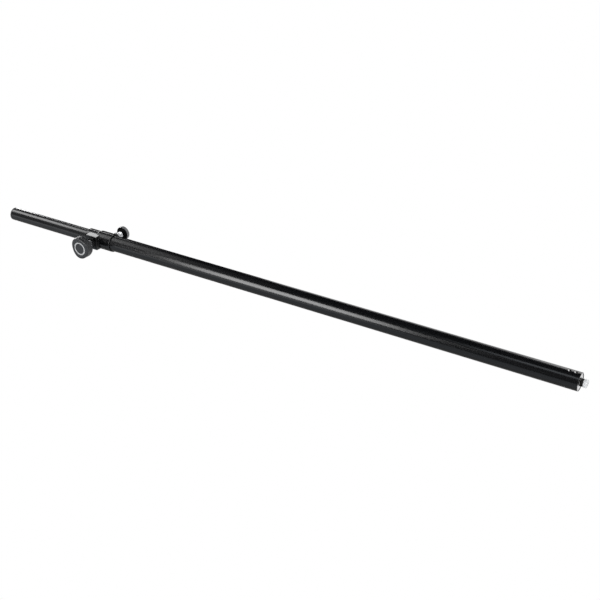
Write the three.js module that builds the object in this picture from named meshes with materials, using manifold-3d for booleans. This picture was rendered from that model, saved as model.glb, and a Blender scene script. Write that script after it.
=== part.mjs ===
// Speaker pole: two telescopic tubes, a screw clamp with a hand knob, a spring index plunger and a base stud.
// Millimetres, +Z up. The origin is the centre of the seat face at the foot of the outer tube.
// The clamp points along -Y and the plunger along +Y.

import * as THREE from 'three';
import { mergeVertices } from 'three/addons/utils/BufferGeometryUtils.js';
import Module from 'manifold-3d';

const wasm = await Module();
wasm.setup();

// Clearances, overruns and facet counts
const seatGap = 0.3; // between pieces that touch on the real pole
const slideGap = 0.3; // between pieces that slide on each other
const overrun = 4; // how far a cutter runs past the face that it cuts
const weldDistance = 0.0001; // corners closer than this are one corner
const tubeSides = 36;
const midSides = 24;
const smallSides = 16;
const dimpleSides = 8;
const knobSides = 72;
const hexSides = 6;
const quarterTurn = 90;
const fullTurn = 360;

// Tubes
const innerDiameter = 35;
const innerWall = 2;
const innerLength = 770;
const bushWall = 1.1; // wall of the two plastic bushes that fill the gap between the tubes
const outerWall = 2;
const outerLength = 1318;
const drawnOut = 324; // the inner tube's end above the outer tube's end
const pushedIn = 165; // how far the inner tube may be pushed in from there
const tubeEdge = 0.5; // chamfer on the cut ends

const innerRadius = innerDiameter / 2;
const innerBore = innerRadius - innerWall;
const bushBore = innerRadius + slideGap;
const bushRadius = bushBore + bushWall;
const outerBore = bushRadius + seatGap;
const outerRadius = outerBore + outerWall;
const innerTop = outerLength + drawnOut;
const innerLow = innerTop - innerLength;

// Crimps: rows of punched dimples that lock a plug in a tube's end
const crimpRows = 2;
const crimpsPerRow = 3;
const crimpFromEnd = 12;
const crimpPitch = 14;
const crimpDepth = 1.3;
const crimpMouth = 3.4;
const crimpFloor = 1.4;
const crimpBulge = 0.9; // how far the dimple stands into the bore
const crimpBulgeFoot = 2.6;
const crimpAngle = -4; // degrees from +X to the first dimple

// Plugs
const plugChamfer = 1;
const basePlugLength = 45;
const basePlugRecess = 0.8;
const topPlugLength = 44;
const topPlugCore = 10;
const topPlugWeb = 6;
const topHeadThickness = 2.6;
const topHeadEdge = 1.6;
const footLength = 32;
const footCore = 11;
const footWeb = 6;
const footFlange = 3;

// Base stud
const studDiameter = 20;
const studReach = 15; // below the seat face
const studChamfer = 1.6;
const studGrip = 31; // above the seat face
const studRingHeight = 6.4;
const studRingWall = 1.7;
const studRingInset = 1.2; // the ring's skin lies this far inside the thread

// Glide: a loose bush that the inner tube carries between its foot and a snap ring
const glideLength = 28;
const glideSlit = 1.4;
const snapThickness = 1.5;
const snapDepth = 0.6; // groove depth in the inner tube
const snapMouth = 6; // gap of the split ring

// Guide sleeve in the outer tube's mouth
const guideLength = 106;
const guideFlange = 1.6;
const guideLip = 1.5; // how far the flange stands over the tube's end
const guideSlits = 4;
const guideSlitWidth = 2.4;
const guideSlitLength = 34;

// Clamp housing
const skirtWall = 2.6;
const skirtGrip = 40.5; // overlap with the outer tube
const skirtEdge = 1;
const grooveFromEnd = 12.5; // from the skirt's end up to a shallow groove around it
const grooveWidth = 1.2;
const grooveDepth = 0.5;
const collarWall = 3.7;
const collarLip = 12.2; // above the clamp boss
const collarEdge = 1.4;
const stepLength = 5;
const stepRise = 4; // from the bore's shoulder up to the step in the outside
const boreLead = 1;
const seatWeb = 5; // between the guide's flange and the pad's window

// Clamp boss
const bossHalfWidth = 19.5; // at the root
const bossHalfLength = 19.3;
const bossCorner = 2.5;
const bossReach = 30; // from the pole's axis
const bossEdge = 1;
const bossDraft = 1;
const bossFillet = 1.5;
const bossRoot = 3;
const nutCollarWall = 2.6;
const nutCollarLength = 6;

// Pressure pad, clamp screw and nut
const padHalfWidth = 7;
const padHalfLength = 8;
const padCorner = 1.5;
const padThickness = 4.2;
const padTravel = 3.5;
const screwDiameter = 12;
const screwPointLength = 3;
const screwPointShare = 0.7; // of the thread's radius
const screwChamfer = 1;
const nutFlats = 18;
const nutWeb = 2;
const headFlats = 18;
const headHeight = 7;

// Clamp knob
const knobRadius = 29.1; // midway between its lobes and its flats
const knobLobes = 3;
const knobLobeRise = 1.45;
const knobLobeTurn = 44; // degrees from +X to the first lobe
const knobFront = 75.1; // from the pole's axis
const knobBody = 18.3;
const knobHub = 16;
const knobHubRadius = 10.5;
const knobCrown = 3;
const knobBackEdge = 1.2;
const knobTaper = 0.5;
const knobWall = 3.2;
const knobHollow = 9;
const knobRibs = 6;
const knobRibWidth = 2.2;
const capRadius = 19.4;
const capDepth = 3;
const capCrown = 0.8;
const capEdge = 0.8;

// Index plunger
const plungerFromMouth = 18; // from the outer tube's end down to the plunger's axis
const plungerBossRadius = 12;
const plungerBossReach = 31;
const plungerBossFillet = 2;
const barrelDiameter = 16;
const barrelEnd = 52; // from the pole's axis
const barrelChamfer = 0.6;
const barrelWall = 1.7;
const barrelNose = 3.6; // thickness of the barrel's inner end
const lockNutFlats = 22;
const lockNutThickness = 4;
const pinDiameter = 8;
const pinCollarThickness = 2.2;
const pinCollarSeat = 3.2; // from the barrel's nose to the collar while the tip is on the tube
const pinShankDiameter = 5.6;
const pinThreadLength = 8.5;
const barrelBushLength = 4;
const pullDiskRadius = 18.5;
const pullNeckRadius = 8;
const pullConeHeight = 5.2;
const pullRimHeight = 8.5;
const pullRimEdge = 2.2;
const pullDome = 2;
const springWire = 0.9;
const springCurls = 10;
const stepsPerCurl = 8;
const springSides = 5;

// Index holes in the inner tube
const holePitch = 50;
const holeEase = 0.5; // radial room around the pin's tip

// Heights and places that follow from the sizes above
const guideLow = outerLength + seatGap - guideLength;
const guideTop = outerLength + seatGap + guideFlange;
const shoulderHeight = guideTop + seatGap;
const windowHalfWidth = padHalfWidth + seatGap;
const windowHalfLength = padHalfLength + seatGap;
const clampHeight = shoulderHeight + seatWeb + windowHalfLength;
const housingLow = outerLength - skirtGrip;
const housingTop = clampHeight + bossHalfLength + collarLip;
const skirtBore = outerRadius + seatGap;
const skirtRadius = skirtBore + skirtWall;
const collarBore = innerRadius + slideGap;
const collarRadius = collarBore + collarWall;
const plungerHeight = outerLength - plungerFromMouth;
const glideLow = innerLow + seatGap;
const snapLow = glideLow + glideLength + seatGap;

const padFace = innerRadius + seatGap;
const padBack = padFace + padThickness;
const windowBack = padBack + padTravel + seatGap;
const nutLow = windowBack + nutWeb;
const nutHigh = bossReach + nutCollarLength;
const screwRadius = screwDiameter / 2;
const screwBore = screwRadius + seatGap;
const nutCorner = nutFlats / Math.sqrt(3);
const headCorner = headFlats / Math.sqrt(3);
const knobBack = knobFront - knobBody;
const capSeat = knobFront - capDepth;
const headTop = capSeat - seatGap;
const headLow = headTop - headHeight;

const barrelRadius = barrelDiameter / 2;
const barrelBore = barrelRadius - barrelWall;
const barrelStart = outerBore + seatGap;
const pinRadius = pinDiameter / 2;
const pinHole = pinRadius + seatGap;
const pinTip = innerRadius + seatGap;
const collarLow = barrelStart + barrelNose + pinCollarSeat;
const collarHigh = collarLow + pinCollarThickness;
const shankRadius = pinShankDiameter / 2;
const shankHole = shankRadius + seatGap;
const bushLow = barrelEnd - barrelBushLength;
const pullLow = barrelEnd + seatGap;
const pullRimLow = pullLow + pullConeHeight;
const pullRimHigh = pullRimLow + pullRimHeight;
const pullTop = pullRimHigh + pullDome;

// Turns a geometry into a closed solid: one corner per place, and no collapsed triangles.
function solidOf(geometry) {
  const loose = geometry.index ? geometry.toNonIndexed() : geometry;
  const bare = new THREE.BufferGeometry();
  bare.setAttribute('position', loose.getAttribute('position'));
  const merged = mergeVertices(bare, weldDistance);
  const corners = merged.index.array;
  const kept = [];
  for (let i = 0; i < corners.length; i += 3) {
    const [a, b, c] = corners.slice(i, i + 3);
    if (a !== b && b !== c && c !== a) kept.push(a, b, c);
  }
  const vertProperties = merged.attributes.position.array;
  return new wasm.Manifold(new wasm.Mesh({ numProp: 3, vertProperties, triVerts: new Uint32Array(kept) }));
}

// Revolves [radius, height] pairs about Z. The pairs run up the outside and down the inside.
function revolve(profile, sides) {
  const points = profile.map(([radius, height]) => new THREE.Vector2(radius, height));
  return solidOf(new THREE.LatheGeometry(points, sides).rotateX(Math.PI / 2));
}

function disc(radius, low, high, sides) {
  return revolve([[0, low], [radius, low], [radius, high], [0, high]], sides);
}

function cone(lowRadius, highRadius, low, high, sides) {
  return revolve([[0, low], [lowRadius, low], [highRadius, high], [0, high]], sides);
}

function ring(inner, outer, low, high, sides) {
  return revolve([[outer, low], [outer, high], [inner, high], [inner, low], [outer, low]], sides);
}

function block(lowX, highX, lowY, highY, lowZ, highZ) {
  const geometry = new THREE.BoxGeometry(highX - lowX, highY - lowY, highZ - lowZ);
  return solidOf(geometry.translate((lowX + highX) / 2, (lowY + highY) / 2, (lowZ + highZ) / 2));
}

// Points of a quarter round from the side of a revolved piece to its top face.
function topRound(radius, top, edge, steps) {
  const points = [];
  for (let k = 0; k <= steps; k += 1) {
    const angle = (k / steps) * (Math.PI / 2);
    points.push([radius - edge * (1 - Math.cos(angle)), top - edge * (1 - Math.sin(angle))]);
  }
  return points;
}

// Joins sections with the same number of points into a skin, and closes both ends from their middles.
function loft(sections) {
  const positions = [];
  const middleOf = (section) => {
    const sum = new THREE.Vector3();
    section.forEach((point) => sum.add(point));
    return sum.divideScalar(section.length);
  };
  const addTriangle = (...corners) => corners.forEach(({ x, y, z }) => positions.push(x, y, z));
  const count = sections[0].length;
  const first = sections[0];
  const last = sections[sections.length - 1];
  for (let i = 0; i < count; i += 1) {
    const j = (i + 1) % count;
    for (let row = 0; row + 1 < sections.length; row += 1) {
      const below = sections[row];
      const above = sections[row + 1];
      addTriangle(below[i], below[j], above[j]);
      addTriangle(below[i], above[j], above[i]);
    }
    addTriangle(middleOf(first), first[j], first[i]);
    addTriangle(middleOf(last), last[i], last[j]);
  }
  const geometry = new THREE.BufferGeometry();
  geometry.setAttribute('position', new THREE.Float32BufferAttribute(positions, 3));
  return solidOf(geometry);
}

// Counter-clockwise outline of a rectangle with round corners, grown outwards by an offset.
function roundedRectangle(halfX, halfY, corner, offset) {
  const cornerSteps = 3;
  const edgeSteps = 4;
  const radius = corner + offset;
  const middles = [[1, 1], [-1, 1], [-1, -1], [1, -1]];
  const arcs = middles.map(([sideX, sideY], index) => {
    const points = [];
    for (let k = 0; k <= cornerSteps; k += 1) {
      const angle = ((index + k / cornerSteps) * Math.PI) / 2;
      const x = sideX * (halfX - corner) + radius * Math.cos(angle);
      const y = sideY * (halfY - corner) + radius * Math.sin(angle);
      points.push(new THREE.Vector2(x, y));
    }
    return points;
  });
  const outline = [];
  arcs.forEach((arc, index) => {
    const next = arcs[(index + 1) % arcs.length];
    outline.push(...arc);
    for (let k = 1; k < edgeSteps; k += 1) {
      outline.push(arc[arc.length - 1].clone().lerp(next[0], k / edgeSteps));
    }
  });
  return outline;
}

function circle(radius, sides) {
  const outline = [];
  for (let k = 0; k < sides; k += 1) {
    const angle = (k / sides) * 2 * Math.PI;
    outline.push(new THREE.Vector2(radius * Math.cos(angle), radius * Math.sin(angle)));
  }
  return outline;
}

// A boss that grows out of a curved wall: a concave fillet along the wall, a drafted side and a round edge.
// outlineAt gives the outline grown by an offset, and wallAt the wall's height under a point.
function filletedBoss(outlineAt, wallAt, fillet, draft, edge, root, reach) {
  const filletSteps = 3;
  const edgeSteps = 3;
  const flat = (outline, height) => outline.map((point) => new THREE.Vector3(point.x, point.y, height));
  const sections = [flat(outlineAt(fillet), root)];
  for (let k = 0; k <= filletSteps; k += 1) {
    const angle = (k / filletSteps) * (Math.PI / 2);
    const outline = outlineAt(fillet * (1 - Math.sin(angle)));
    const lift = fillet * (1 - Math.cos(angle));
    sections.push(outline.map((point) => new THREE.Vector3(point.x, point.y, wallAt(point) + lift)));
  }
  for (let k = 0; k <= edgeSteps; k += 1) {
    const angle = (k / edgeSteps) * (Math.PI / 2);
    const inset = draft + edge * (1 - Math.cos(angle));
    sections.push(flat(outlineAt(-inset), reach - edge * (1 - Math.sin(angle))));
  }
  return loft(sections);
}

// The clamp's own frame has +Z pointing out of the boss, and the pole's axis runs along Y.
function fromClamp(solid) {
  return solid.rotate([quarterTurn, 0, 0]).translate([0, 0, clampHeight]);
}

// The plunger's own frame is the same on the other side of the pole.
function fromPlunger(solid) {
  return solid.rotate([-quarterTurn, 0, 0]).translate([0, 0, plungerHeight]);
}

// Tubes and their crimps

function tubeProfile(outer, inner, low, high, grooves) {
  return [
    [outer - tubeEdge, low],
    [outer, low + tubeEdge],
    ...grooves,
    [outer, high - tubeEdge],
    [outer - tubeEdge, high],
    [inner, high],
    [inner, low],
    [outer - tubeEdge, low],
  ];
}

// Punches rows of dimples into a tube. Each dimple hollows the outside and bulges into the bore.
function crimp(tube, radius, bore, firstHeight, step) {
  const bulge = cone(crimpFloor, crimpBulgeFoot, bore - crimpBulge, (bore + radius) / 2, dimpleSides);
  const mouthAbove = 2 * crimpMouth - crimpFloor;
  const punch = cone(crimpFloor, mouthAbove, radius - crimpDepth, radius + crimpDepth, dimpleSides);
  let made = tube;
  for (let row = 0; row < crimpRows; row += 1) {
    for (let place = 0; place < crimpsPerRow; place += 1) {
      const angle = crimpAngle + (place * fullTurn) / crimpsPerRow;
      const stand = (solid) => {
        const turned = solid.rotate([0, quarterTurn, 0]).rotate([0, 0, angle]);
        return turned.translate([0, 0, firstHeight + row * step]);
      };
      made = made.add(stand(bulge)).subtract(stand(punch));
    }
  }
  return made;
}

// Grooves that take the dimples' bulges, as points up the side of a plug.
function crimpGrooves(plugRadius, bore, heights) {
  const floorRadius = bore - crimpBulge - seatGap;
  const halfMouth = crimpBulgeFoot + 2 * seatGap;
  const halfFloor = crimpFloor + seatGap;
  return heights.flatMap((height) => [
    [plugRadius, height - halfMouth],
    [floorRadius, height - halfFloor],
    [floorRadius, height + halfFloor],
    [plugRadius, height + halfMouth],
  ]);
}

function makeOuterTube() {
  const tube = revolve(tubeProfile(outerRadius, outerBore, 0, outerLength, []), tubeSides);
  const barrelHole = disc(barrelRadius + seatGap, innerRadius, outerRadius + overrun, midSides);
  return crimp(tube, outerRadius, outerBore, crimpFromEnd, crimpPitch).subtract(fromPlunger(barrelHole));
}

// Heights of the index holes: the plunger rests midway between two of them.
function indexHoleHeights() {
  const snapTop = snapLow + snapThickness;
  const holesBelow = Math.floor((guideLow - snapTop) / holePitch);
  const holesAbove = Math.floor(pushedIn / holePitch);
  const heights = [];
  for (let k = -holesBelow; k < holesAbove; k += 1) heights.push(plungerHeight + (k + 1 / 2) * holePitch);
  return heights;
}

function makeInnerTube() {
  const grooveFloor = innerRadius - snapDepth;
  const grooveLow = snapLow - seatGap / 2;
  const grooveHigh = snapLow + snapThickness + seatGap / 2;
  const groove = [
    [innerRadius, grooveLow],
    [grooveFloor, grooveLow],
    [grooveFloor, grooveHigh],
    [innerRadius, grooveHigh],
  ];
  let tube = revolve(tubeProfile(innerRadius, innerBore, innerLow, innerTop, groove), tubeSides);
  tube = crimp(tube, innerRadius, innerBore, innerTop - crimpFromEnd, -crimpPitch);
  const holeRadius = pinRadius + holeEase;
  const drill = disc(holeRadius, innerRadius - innerWall - holeRadius, innerRadius + overrun, smallSides);
  for (const height of indexHoleHeights()) {
    tube = tube.subtract(drill.rotate([-quarterTurn, 0, 0]).translate([0, 0, height]));
  }
  return tube;
}

// Plugs

function makeBasePlug() {
  const radius = outerBore - seatGap;
  const low = basePlugRecess;
  const high = low + basePlugLength;
  const socket = studDiameter / 2 + seatGap;
  const socketTop = studGrip + seatGap;
  return revolve(
    [
      [0, socketTop],
      [socket, socketTop],
      [socket, low],
      [radius - plugChamfer, low],
      [radius, low + plugChamfer],
      ...crimpGrooves(radius, outerBore, [crimpFromEnd, crimpFromEnd + crimpPitch]),
      [radius, high - plugChamfer],
      [radius - plugChamfer, high],
      [0, high],
    ],
    midSides,
  );
}

// The top plug's own frame starts at the inner tube's upper end.
function makeTopPlug() {
  const radius = innerBore - seatGap;
  const headTop = seatGap + topHeadThickness;
  const headSteps = 3;
  return revolve(
    [
      [0, -topPlugWeb],
      [topPlugCore, -topPlugWeb],
      [topPlugCore, -topPlugLength],
      [radius - plugChamfer, -topPlugLength],
      [radius, plugChamfer - topPlugLength],
      ...crimpGrooves(radius, innerBore, [-crimpFromEnd - crimpPitch, -crimpFromEnd]),
      [radius, seatGap],
      [innerRadius, seatGap],
      ...topRound(innerRadius, headTop, topHeadEdge, headSteps),
      [0, headTop],
    ],
    tubeSides,
  );
}

// The foot's own frame starts at the inner tube's lower end.
function makeInnerFoot() {
  const radius = innerBore - seatGap;
  const flangeLow = -seatGap - footFlange;
  return revolve(
    [
      [0, footWeb],
      [footCore, footWeb],
      [footCore, flangeLow],
      [bushRadius - plugChamfer, flangeLow],
      [bushRadius, flangeLow + plugChamfer],
      [bushRadius, -seatGap],
      [radius, -seatGap],
      [radius, footLength - plugChamfer],
      [radius - plugChamfer, footLength],
      [0, footLength],
    ],
    midSides,
  );
}

// Stud and its ring

function makeBaseStud() {
  const radius = studDiameter / 2;
  const neck = radius - studRingInset - studRingWall - seatGap;
  const neckLow = -studRingHeight - seatGap;
  return revolve(
    [
      [0, -studReach],
      [radius - studChamfer, -studReach],
      [radius, studChamfer - studReach],
      [radius, neckLow],
      [neck, neckLow],
      [neck, basePlugRecess],
      [radius, basePlugRecess + studChamfer],
      [radius, studGrip - studChamfer],
      [radius - studChamfer, studGrip],
      [0, studGrip],
    ],
    midSides,
  );
}

function makeStudRing() {
  const outer = studDiameter / 2 - studRingInset;
  return ring(outer - studRingWall, outer, -studRingHeight, basePlugRecess - seatGap, midSides);
}

// Glide, snap ring and guide sleeve

function makeGlide() {
  const bush = ring(bushBore, bushRadius, 0, glideLength, tubeSides);
  const halfSlit = glideSlit / 2;
  return bush.subtract(block(-halfSlit, halfSlit, 0, bushRadius + overrun, -overrun, glideLength + overrun));
}

function makeSnapRing() {
  const grooveFloor = innerRadius - snapDepth;
  const split = ring(grooveFloor + seatGap, bushRadius - slideGap, 0, snapThickness, tubeSides);
  const halfMouth = snapMouth / 2;
  return split.subtract(block(-halfMouth, halfMouth, 0, bushRadius, -overrun, snapThickness + overrun));
}

// The guide's own frame starts at its lower end. Slits make its lower end springy.
function makeGuideSleeve() {
  const tubeTop = guideLength;
  let sleeve = revolve(
    [
      [bushRadius, 0],
      [bushRadius, tubeTop],
      [bushRadius + guideLip, tubeTop],
      [bushRadius + guideLip, tubeTop + guideFlange],
      [bushBore, tubeTop + guideFlange],
      [bushBore, 0],
      [bushRadius, 0],
    ],
    tubeSides,
  );
  const halfSlit = guideSlitWidth / 2;
  const slit = block(-halfSlit, halfSlit, 0, bushRadius + overrun, -overrun, guideSlitLength);
  for (let k = 0; k < guideSlits; k += 1) {
    sleeve = sleeve.subtract(slit.rotate([0, 0, ((k + 1 / 2) * fullTurn) / guideSlits]));
  }
  const pinOpening = disc(pinHole, 0, bushRadius + overrun, smallSides).rotate([-quarterTurn, 0, 0]);
  return sleeve.subtract(pinOpening.translate([0, 0, plungerHeight - guideLow]));
}

// Clamp housing: a stepped moulded sleeve with a groove, a square boss and a round boss

function housingProfile() {
  const grooveLow = housingLow + grooveFromEnd;
  const grooveFloor = skirtRadius - grooveDepth;
  const stepLow = shoulderHeight + stepRise;
  const edgeSteps = 3;
  return [
    [0, housingLow],
    [skirtRadius - skirtEdge, housingLow],
    [skirtRadius, housingLow + skirtEdge],
    [skirtRadius, grooveLow],
    [grooveFloor, grooveLow + grooveDepth],
    [grooveFloor, grooveLow + grooveWidth],
    [skirtRadius, grooveLow + grooveWidth + grooveDepth],
    [skirtRadius, stepLow],
    [collarRadius, stepLow + stepLength],
    ...topRound(collarRadius, housingTop, collarEdge, edgeSteps),
    [0, housingTop],
  ];
}

// The housing's outer radius at a height, without its groove.
function housingRadiusAt(height) {
  const along = (height - shoulderHeight - stepRise) / stepLength;
  return THREE.MathUtils.lerp(skirtRadius, collarRadius, THREE.MathUtils.clamp(along, 0, 1));
}

function makeClampBoss() {
  const outlineAt = (offset) => roundedRectangle(bossHalfWidth, bossHalfLength, bossCorner, offset);
  const wallAt = (point) => {
    const radius = housingRadiusAt(clampHeight + point.y);
    return Math.sqrt(radius * radius - point.x * point.x);
  };
  const square = filletedBoss(outlineAt, wallAt, bossFillet, bossDraft, bossEdge, bossRoot, bossReach);
  const collarSkin = nutCorner + seatGap + nutCollarWall;
  const wallHeight = () => bossReach;
  const root = bossReach - bossFillet;
  const roundAt = (offset) => circle(collarSkin + offset, midSides);
  return square.add(filletedBoss(roundAt, wallHeight, bossEdge, 0, bossEdge, root, nutHigh));
}

function makePlungerBoss() {
  const outlineAt = (offset) => circle(plungerBossRadius + offset, midSides);
  const wallAt = (point) => {
    const radius = housingRadiusAt(plungerHeight - point.y);
    return Math.sqrt(radius * radius - point.x * point.x);
  };
  return filletedBoss(outlineAt, wallAt, plungerBossFillet, 0, bossEdge, bossRoot, plungerBossReach);
}

function housingBore() {
  return revolve(
    [
      [0, housingLow - overrun],
      [skirtBore + boreLead + overrun, housingLow - overrun],
      [skirtBore, housingLow + boreLead],
      [skirtBore, shoulderHeight],
      [collarBore, shoulderHeight],
      [collarBore, housingTop - boreLead],
      [collarBore + boreLead + overrun, housingTop + overrun],
      [0, housingTop + overrun],
    ],
    tubeSides,
  );
}

function makeClampHousing() {
  const body = revolve(housingProfile(), tubeSides);
  const grown = body.add(fromClamp(makeClampBoss())).add(fromPlunger(makePlungerBoss()));
  const window = block(-windowHalfWidth, windowHalfWidth, -windowHalfLength, windowHalfLength, 0, windowBack);
  const screwHole = disc(screwBore, 0, nutHigh, midSides);
  const nutPocket = disc(nutCorner + seatGap, nutLow, nutHigh + overrun, hexSides);
  const barrelHole = disc(barrelRadius + seatGap, 0, plungerBossReach + overrun, midSides);
  const clampCuts = fromClamp(window.add(screwHole).add(nutPocket));
  return grown.subtract(housingBore()).subtract(clampCuts).subtract(fromPlunger(barrelHole));
}

// Clamp pieces, in the clamp's own frame

function makePressurePad() {
  const outline = roundedRectangle(padHalfWidth, padHalfLength, padCorner, 0);
  const slab = new THREE.ExtrudeGeometry(new THREE.Shape(outline), { depth: padBack, bevelEnabled: false });
  const blank = solidOf(slab);
  const poleCut = disc(padFace, -padHalfLength - overrun, padHalfLength + overrun, tubeSides);
  return blank.subtract(poleCut.rotate([quarterTurn, 0, 0]));
}

function makeClampNut() {
  const hex = disc(nutCorner, nutLow + seatGap, nutHigh, hexSides);
  const topCut = cone(nutCorner, nutCorner - nutWeb, nutHigh - nutWeb / 2, nutHigh, midSides);
  const body = disc(nutCorner, nutLow, nutHigh - nutWeb / 2, midSides).add(topCut);
  return hex.intersect(body).subtract(disc(screwBore, 0, nutHigh + overrun, midSides));
}

function makeClampScrew() {
  const tip = padBack + seatGap;
  const pointRadius = screwRadius * screwPointShare;
  const shank = revolve(
    [
      [0, tip],
      [pointRadius, tip],
      [pointRadius, tip + screwPointLength],
      [screwRadius - screwChamfer, tip + screwPointLength],
      [screwRadius, tip + screwPointLength + screwChamfer],
      [screwRadius, headTop - screwChamfer],
      [0, headTop - screwChamfer],
    ],
    midSides,
  );
  return shank.add(disc(headCorner, headLow, headTop, hexSides));
}

// Rows of the knob's skin from its back edge to its front face, as height and radius.
function knobRows() {
  const crownSteps = 4;
  const crown = topRound(knobRadius - knobTaper, knobFront, knobCrown, crownSteps);
  return [
    [knobBack, knobRadius - knobBackEdge],
    [knobBack + knobBackEdge, knobRadius],
    ...crown.map(([radius, height]) => [height, radius]),
  ];
}

// The knob is a little three-sided: its lobes stand out and its flats lie in by the same amount.
function knobSection(height, radius) {
  const lobeTurn = THREE.MathUtils.degToRad(knobLobeTurn);
  const section = [];
  for (let k = 0; k < knobSides; k += 1) {
    const angle = (k / knobSides) * 2 * Math.PI;
    const reach = radius + knobLobeRise * Math.cos(knobLobes * (angle - lobeTurn));
    section.push(new THREE.Vector3(reach * Math.cos(angle), reach * Math.sin(angle), height));
  }
  return section;
}

// The hollow in the knob's back, with radial ribs left standing between the hub and the rim.
function knobBackHollow() {
  const rimBore = knobRadius - knobLobeRise - knobWall;
  const rootHigh = knobBack + knobHollow;
  let hollow = ring(knobHubRadius, rimBore, knobBack - overrun, rootHigh, tubeSides);
  const halfRib = knobRibWidth / 2;
  const rib = block(0, rimBore + overrun, -halfRib, halfRib, knobBack + knobBackEdge, rootHigh + overrun);
  for (let k = 0; k < knobRibs; k += 1) {
    hollow = hollow.subtract(rib.rotate([0, 0, (k * fullTurn) / knobRibs]));
  }
  return hollow;
}

function makeClampKnob() {
  const skin = loft(knobRows().map(([height, radius]) => knobSection(height, radius)));
  const hubLow = knobBack - knobHub;
  const hub = cone(knobHubRadius - knobBackEdge, knobHubRadius, hubLow, knobBack + knobHollow, tubeSides);
  const headPocket = disc(headCorner + seatGap, headLow - seatGap, knobFront, hexSides);
  const screwHole = disc(screwBore, hubLow - overrun, knobFront, midSides);
  const capRecess = disc(capRadius, capSeat, knobFront + overrun, tubeSides);
  const openings = headPocket.add(screwHole).add(capRecess);
  return skin.subtract(knobBackHollow()).add(hub).subtract(openings);
}

function makeKnobCap() {
  const low = capSeat + seatGap;
  const radius = capRadius - seatGap;
  const crownStart = radius - capEdge;
  return revolve(
    [
      [0, low],
      [radius, low],
      [radius, knobFront - capEdge],
      [crownStart, knobFront],
      [crownStart / 2, knobFront + capCrown / 2],
      [0, knobFront + capCrown / 2],
    ],
    tubeSides,
  );
}

// Plunger pieces, in the plunger's own frame

function makeBarrel() {
  return revolve(
    [
      [barrelRadius - barrelChamfer, barrelStart],
      [barrelRadius, barrelStart + barrelChamfer],
      [barrelRadius, barrelEnd - barrelChamfer],
      [barrelRadius - barrelChamfer, barrelEnd],
      [barrelBore, barrelEnd],
      [barrelBore, barrelStart + barrelNose],
      [pinHole, barrelStart + barrelNose],
      [pinHole, barrelStart],
      [barrelRadius - barrelChamfer, barrelStart],
    ],
    midSides,
  );
}

function makeLockNut() {
  const low = plungerBossReach + seatGap;
  const high = low + lockNutThickness;
  const corner = lockNutFlats / Math.sqrt(3);
  const blank = cone(corner, corner - lockNutThickness / 2, high - lockNutThickness / 4, high, midSides);
  const round = disc(corner, low, high - lockNutThickness / 4, midSides).add(blank);
  const hole = disc(barrelRadius + seatGap, low - overrun, high + overrun, midSides);
  return disc(corner, low, high, hexSides).intersect(round).subtract(hole);
}

function makeBarrelBush() {
  return ring(shankHole, barrelBore - seatGap, bushLow, barrelEnd - seatGap, smallSides);
}

function makeIndexPin() {
  const shankEnd = pullLow + pinThreadLength;
  return revolve(
    [
      [0, pinTip],
      [pinRadius - screwChamfer, pinTip],
      [pinRadius, pinTip + screwChamfer],
      [pinRadius, collarLow],
      [barrelBore - seatGap, collarLow],
      [barrelBore - seatGap, collarHigh],
      [shankRadius, collarHigh],
      [shankRadius, shankEnd],
      [0, shankEnd],
    ],
    smallSides,
  );
}

function makePullKnob() {
  const edgeSteps = 3;
  const socketEnd = pullLow + pinThreadLength + seatGap;
  return revolve(
    [
      [0, socketEnd],
      [shankHole, socketEnd],
      [shankHole, pullLow],
      [pullNeckRadius, pullLow],
      [pullNeckRadius, pullLow + barrelChamfer],
      [pullDiskRadius, pullRimLow],
      ...topRound(pullDiskRadius, pullRimHigh, pullRimEdge, edgeSteps),
      [pullNeckRadius, pullTop],
      [0, pullTop],
    ],
    tubeSides,
  );
}

// Centre line of the spring between the pin's collar and the barrel's bush.
function springCentre(step) {
  const low = collarHigh + seatGap + springWire / 2;
  const high = bushLow - seatGap - springWire / 2;
  const radius = (shankRadius + barrelBore) / 2;
  const angle = (step / stepsPerCurl) * 2 * Math.PI;
  const height = THREE.MathUtils.lerp(low, high, step / (springCurls * stepsPerCurl));
  return new THREE.Vector3(radius * Math.cos(angle), radius * Math.sin(angle), height);
}

function springSection(step) {
  const centre = springCentre(step);
  const outwards = new THREE.Vector3(centre.x, centre.y, 0).normalize();
  const section = [];
  for (let k = 0; k < springSides; k += 1) {
    const angle = (k / springSides) * 2 * Math.PI;
    const point = centre.clone().addScaledVector(outwards, (springWire / 2) * Math.cos(angle));
    point.z -= (springWire / 2) * Math.sin(angle);
    section.push(point);
  }
  return section;
}

// Least gap between the wire and itself, over points at least half a curl apart.
function springGap() {
  const last = springCurls * stepsPerCurl;
  let least = Infinity;
  for (let from = 0; from <= last; from += 1) {
    for (let to = from + stepsPerCurl / 2; to <= last; to += 1) {
      least = Math.min(least, springCentre(from).distanceTo(springCentre(to)) - springWire);
    }
  }
  return least;
}

function makeSpring() {
  const sections = [];
  for (let step = 0; step <= springCurls * stepsPerCurl; step += 1) sections.push(springSection(step));
  console.log(`Least gap between the spring's curls: ${springGap().toFixed(2)} mm`);
  return loft(sections);
}

// Finishes

const blackPaint = { color: 0x17181a, roughness: 0.38, metalness: 0.1 };
const blackPlastic = { color: 0x131416, roughness: 0.55, metalness: 0 };
const charcoalPlastic = { color: 0x3a3c3f, roughness: 0.6, metalness: 0 };
const greyPlastic = { color: 0xb9bbbd, roughness: 0.5, metalness: 0 };
const glidePlastic = { color: 0x2a2b2d, roughness: 0.5, metalness: 0 };
const zincSteel = { color: 0xc4c6c8, roughness: 0.3, metalness: 1 };
const brass = { color: 0xb89a55, roughness: 0.35, metalness: 1 };
const blackRubber = { color: 0x101010, roughness: 0.85, metalness: 0 };

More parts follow.
